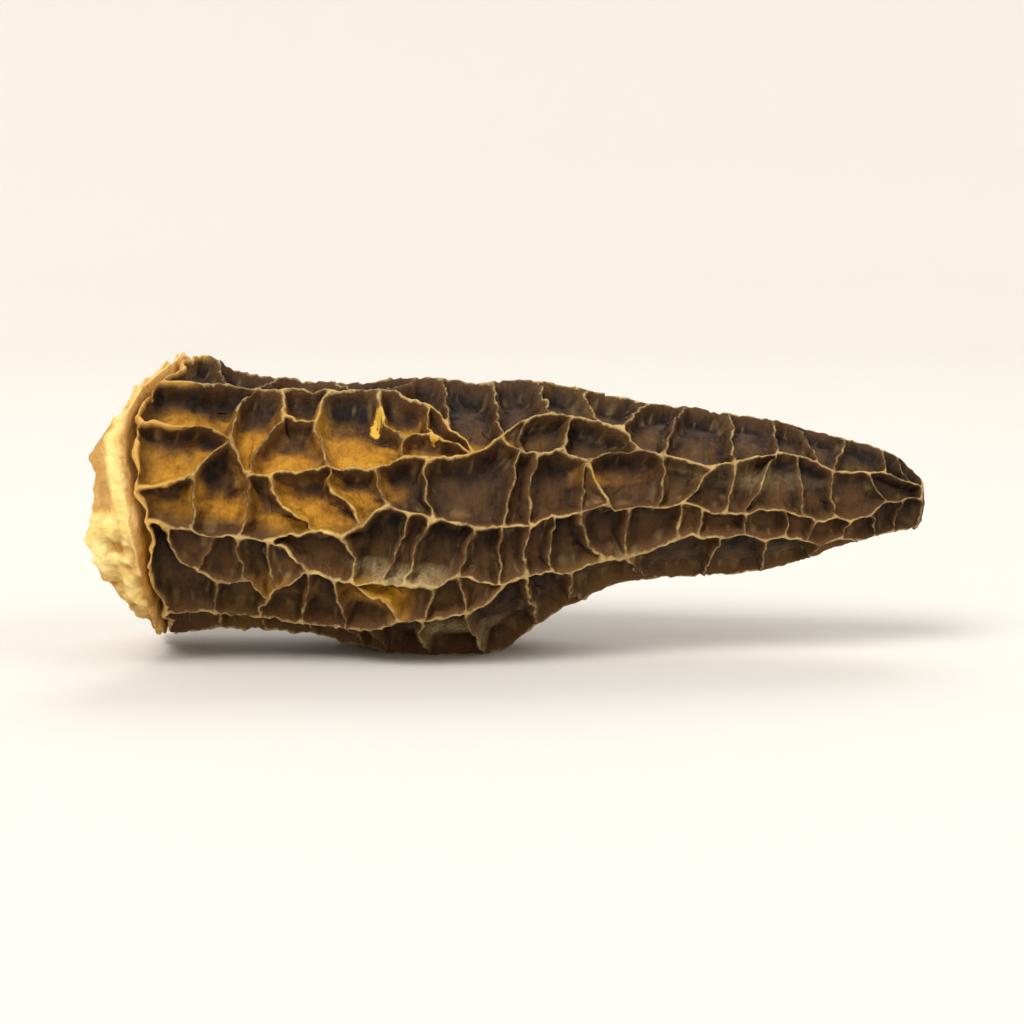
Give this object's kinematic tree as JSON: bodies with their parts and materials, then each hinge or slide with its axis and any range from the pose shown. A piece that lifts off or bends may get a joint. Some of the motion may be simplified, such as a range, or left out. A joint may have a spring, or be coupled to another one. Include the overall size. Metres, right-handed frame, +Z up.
{
  "type": "dried morel mushroom",
  "caption": "Dried black morel lying on its side: a hollow tapering cap with a raised net of ridges round deep pits, and a torn collar of pale stem in its open mouth.",
  "frame": {"origin": "bottom centre of the bounding box, on the surface it lies on", "axes": "+X along the cap from its open mouth toward its tip, +Z up, -Y the side that the picture shows"},
  "size_m": [0.0858, 0.0292, 0.0311],
  "materials": {
    "cap": "matte",
    "stem_stub": "matte"
  },
  "bodies": {
    "root": {"cap": "cap", "stem_stub": "stem_stub"}
  },
  "joints": []
}
